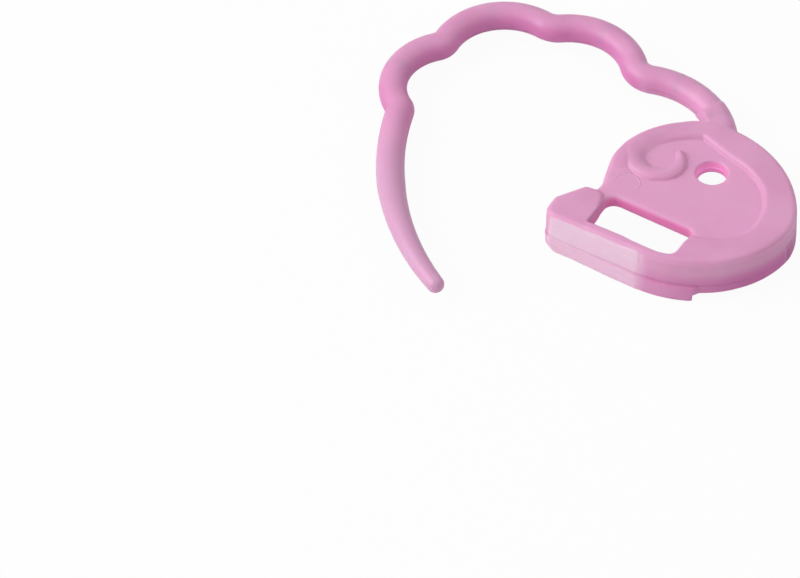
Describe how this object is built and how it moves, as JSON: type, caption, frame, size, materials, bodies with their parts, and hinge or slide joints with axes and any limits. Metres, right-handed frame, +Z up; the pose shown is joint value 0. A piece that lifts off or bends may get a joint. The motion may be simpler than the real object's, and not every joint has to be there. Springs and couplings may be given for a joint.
{
  "type": "stitch marker",
  "caption": "Clip-on plastic stitch marker, open: a thin scalloped arm with a tapered finger that snaps behind the front wall of a round slotted head.",
  "frame": {"origin": "middle of the footprint, on the plane of the front wall's lower edge", "axes": "+X along the slot from the nose to the head's blind side, +Y away from the front wall, +Z up through the head's decorated face"},
  "size_m": [0.0306, 0.0262, 0.0034],
  "materials": {
    "pink_plastic": "satin moulded plastic, opaque candy pink"
  },
  "bodies": {
    "head": {"head": "pink_plastic"},
    "root_lug": {"root_lug": "pink_plastic"},
    "scallop_1": {"scallop_1": "pink_plastic"},
    "scallop_2": {"scallop_2": "pink_plastic"},
    "scallop_3": {"scallop_3": "pink_plastic"},
    "scallop_4": {"scallop_4": "pink_plastic"},
    "finger": {"finger": "pink_plastic"}
  },
  "joints": [
    {"name": "root_dip", "type": "hinge", "parent": "head", "child": "root_lug", "pos_m": [0.00693, 0.00807, 0.0013], "axis": [1, 0, 0], "range_deg": [-6, 13.2], "stiffness_Nm_per_rad": 0.0015},
    {"name": "root_lift", "type": "hinge", "parent": "root_lug", "child": "scallop_1", "pos_m": [0.00525, 0.00968, 0.0013], "axis": [-1, 0, 0], "range_deg": [-2, 10.5], "stiffness_Nm_per_rad": 0.02},
    {"name": "flex_a", "type": "hinge", "parent": "scallop_1", "child": "scallop_2", "pos_m": [-0.00066, 0.00979, 0.0013], "axis": [0, 0, 1], "range_deg": [-1.6, 3.5], "stiffness_Nm_per_rad": 0.0015},
    {"name": "flex_b", "type": "hinge", "parent": "scallop_2", "child": "scallop_3", "pos_m": [-0.00738, 0.01092, 0.0013], "axis": [0, 0, 1], "range_deg": [-8, 17.5], "stiffness_Nm_per_rad": 0.0015},
    {"name": "flex_c", "type": "hinge", "parent": "scallop_3", "child": "scallop_4", "pos_m": [-0.0128, 0.0064, 0.0013], "axis": [0, 0, 1], "range_deg": [-8, 17.5], "stiffness_Nm_per_rad": 0.0015},
    {"name": "flex_d", "type": "hinge", "parent": "scallop_4", "child": "finger", "pos_m": [-0.01217, -0.00049, 0.0013], "axis": [0, 0, 1], "range_deg": [-2, 4.4], "stiffness_Nm_per_rad": 0.0015}
  ],
  "couplings": [
    {"joint": "flex_a", "follows": "flex_b", "ratio": 0.2},
    {"joint": "flex_c", "follows": "flex_b", "ratio": 1},
    {"joint": "flex_d", "follows": "flex_b", "ratio": 0.25},
    {"joint": "root_dip", "follows": "flex_b", "ratio": 0.743}
  ]
}
